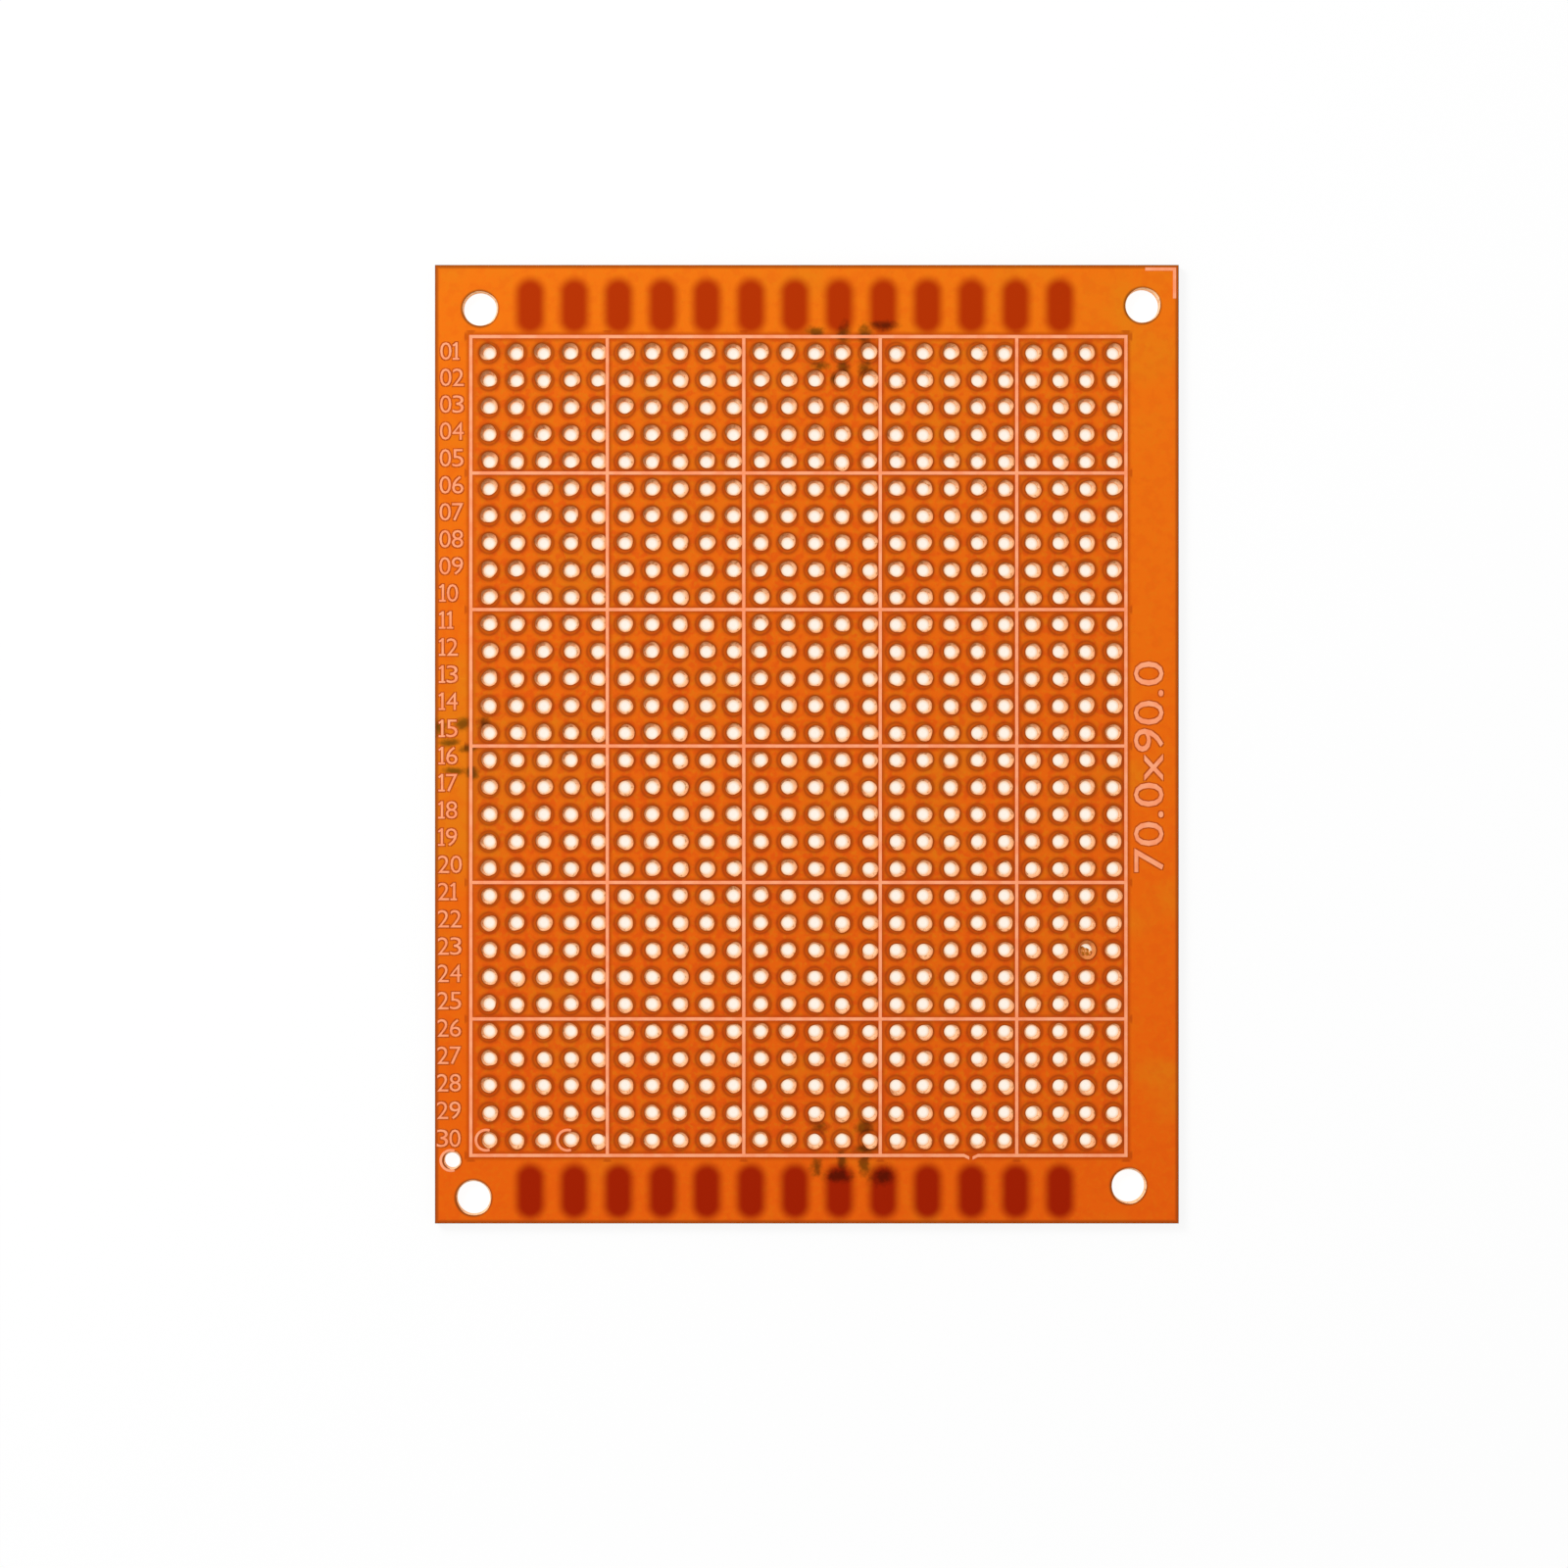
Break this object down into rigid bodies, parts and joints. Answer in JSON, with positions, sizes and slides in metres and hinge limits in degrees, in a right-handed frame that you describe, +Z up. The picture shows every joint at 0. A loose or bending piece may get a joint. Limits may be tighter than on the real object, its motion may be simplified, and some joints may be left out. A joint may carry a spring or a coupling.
{
  "type": "prototype board",
  "caption": "Flat rectangular phenolic board with a grid of lead holes, round copper pads below, edge contact pads and a printed grid.",
  "frame": {"origin": "middle of the sheet's outline, on the plane of the underside of the copper pads", "axes": "+X along a row of holes to the right, +Y along a column towards row 1, +Z up out of the printed face"},
  "size_m": [0.0696, 0.0896, 0.0013],
  "materials": {
    "phenolic_laminate": "resin-rich paper laminate, satin",
    "copper_foil": "etched copper foil under a thin rosin lacquer",
    "legend_ink": "screen-printed white ink, thin enough to take the board's colour",
    "punch_chip": "torn laminate"
  },
  "bodies": {
    "root": {"board": "phenolic_laminate", "edge_pads_top": "copper_foil", "edge_pads_bottom": "copper_foil", "printed_grid": "legend_ink", "stuck_chip": "punch_chip", "pad_row_01": "copper_foil", "pad_row_02": "copper_foil", "pad_row_03": "copper_foil", "pad_row_04": "copper_foil", "pad_row_05": "copper_foil", "pad_row_06": "copper_foil", "pad_row_07": "copper_foil", "pad_row_08": "copper_foil", "pad_row_09": "copper_foil", "pad_row_10": "copper_foil", "pad_row_11": "copper_foil", "pad_row_12": "copper_foil", "pad_row_13": "copper_foil", "pad_row_14": "copper_foil", "pad_row_15": "copper_foil", "pad_row_16": "copper_foil", "pad_row_17": "copper_foil", "pad_row_18": "copper_foil", "pad_row_19": "copper_foil", "pad_row_20": "copper_foil", "pad_row_21": "copper_foil", "pad_row_22": "copper_foil", "pad_row_23": "copper_foil", "pad_row_24": "copper_foil", "pad_row_25": "copper_foil", "pad_row_26": "copper_foil", "pad_row_27": "copper_foil", "pad_row_28": "copper_foil", "pad_row_29": "copper_foil", "pad_row_30": "copper_foil"}
  },
  "joints": []
}
